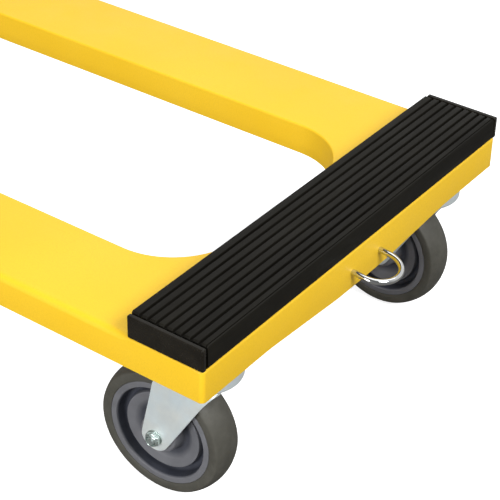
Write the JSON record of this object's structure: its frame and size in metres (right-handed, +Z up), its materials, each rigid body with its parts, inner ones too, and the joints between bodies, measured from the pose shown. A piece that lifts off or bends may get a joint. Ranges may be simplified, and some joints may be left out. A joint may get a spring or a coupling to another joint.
{
  "type": "moving dolly",
  "caption": "Open moulded platform dolly with ribbed rubber end pads, swivel casters and a pull ring at one end.",
  "frame": {"origin": "on the floor, under the middle of the whole object's bounding box", "axes": "+X along the deck towards the end with the pull ring, +Y across the deck to its left, +Z up"},
  "size_m": [0.857, 0.4578, 0.2109],
  "materials": {
    "deck_plastic": "satin moulded polyethylene",
    "pad_rubber": "satin black rubber",
    "cap_plastic": "semi-gloss black",
    "ring_chrome": "bright",
    "zinc": "bright zinc plate",
    "yoke_zinc": "bright zinc plate",
    "ball_steel": "polished",
    "core_plastic": "satin grey",
    "tyre_rubber": "matt grey rubber"
  },
  "bodies": {
    "deck": {"deck": "deck_plastic", "pad_front": "pad_rubber", "pad_rear": "pad_rubber", "pad_cap_front_left": "cap_plastic", "pad_cap_front_right": "cap_plastic", "pad_cap_rear_left": "cap_plastic", "pad_cap_rear_right": "cap_plastic", "pad_screws": "zinc", "pull_ring": "ring_chrome", "ring_plate": "zinc", "ring_nuts": "zinc", "caster_bolts": "zinc", "caster_washers": "zinc", "caster_nuts": "zinc", "plate_front_left": "zinc", "kingpin_front_left": "zinc", "kingpin_nut_front_left": "zinc", "swivel_balls_front_left": "ball_steel", "plate_front_right": "zinc", "kingpin_front_right": "zinc", "kingpin_nut_front_right": "zinc", "swivel_balls_front_right": "ball_steel", "plate_rear_left": "zinc", "kingpin_rear_left": "zinc", "kingpin_nut_rear_left": "zinc", "swivel_balls_rear_left": "ball_steel", "plate_rear_right": "zinc", "kingpin_rear_right": "zinc", "kingpin_nut_rear_right": "zinc", "swivel_balls_rear_right": "ball_steel"},
    "fork_front_left": {"yoke_front_left": "yoke_zinc", "axle_bolt_front_left": "zinc", "axle_nut_front_left": "zinc", "axle_bush_front_left": "ball_steel"},
    "wheel_front_left": {"wheel_core_front_left": "core_plastic", "tyre_front_left": "tyre_rubber"},
    "fork_front_right": {"yoke_front_right": "yoke_zinc", "axle_bolt_front_right": "zinc", "axle_nut_front_right": "zinc", "axle_bush_front_right": "ball_steel"},
    "wheel_front_right": {"wheel_core_front_right": "core_plastic", "tyre_front_right": "tyre_rubber"},
    "fork_rear_left": {"yoke_rear_left": "yoke_zinc", "axle_bolt_rear_left": "zinc", "axle_nut_rear_left": "zinc", "axle_bush_rear_left": "ball_steel"},
    "wheel_rear_left": {"wheel_core_rear_left": "core_plastic", "tyre_rear_left": "tyre_rubber"},
    "fork_rear_right": {"yoke_rear_right": "yoke_zinc", "axle_bolt_rear_right": "zinc", "axle_nut_rear_right": "zinc", "axle_bush_rear_right": "ball_steel"},
    "wheel_rear_right": {"wheel_core_rear_right": "core_plastic", "tyre_rear_right": "tyre_rubber"}
  },
  "joints": [
    {"name": "swivel_front_left", "type": "hinge", "parent": "deck", "child": "fork_front_left", "pos_m": [0.35291, 0.1737, 0.1479], "axis": [0, 0, 1], "continuous": true},
    {"name": "roll_front_left", "type": "hinge", "parent": "fork_front_left", "child": "wheel_front_left", "pos_m": [0.31641, 0.1737, 0.0635], "axis": [0, 1, 0], "continuous": true},
    {"name": "swivel_front_right", "type": "hinge", "parent": "deck", "child": "fork_front_right", "pos_m": [0.35291, -0.1737, 0.1479], "axis": [0, 0, 1], "continuous": true},
    {"name": "roll_front_right", "type": "hinge", "parent": "fork_front_right", "child": "wheel_front_right", "pos_m": [0.31646, -0.17561, 0.0635], "axis": [-0.0523, 0.9986, 0], "continuous": true},
    {"name": "swivel_rear_left", "type": "hinge", "parent": "deck", "child": "fork_rear_left", "pos_m": [-0.32849, 0.1737, 0.1479], "axis": [0, 0, 1], "continuous": true},
    {"name": "roll_rear_left", "type": "hinge", "parent": "fork_rear_left", "child": "wheel_rear_left", "pos_m": [-0.36499, 0.1737, 0.0635], "axis": [0, 1, 0], "continuous": true},
    {"name": "swivel_rear_right", "type": "hinge", "parent": "deck", "child": "fork_rear_right", "pos_m": [-0.32849, -0.1737, 0.1479], "axis": [0, 0, 1], "continuous": true},
    {"name": "roll_rear_right", "type": "hinge", "parent": "fork_rear_right", "child": "wheel_rear_right", "pos_m": [-0.36499, -0.1737, 0.0635], "axis": [0, 1, 0], "continuous": true}
  ]
}
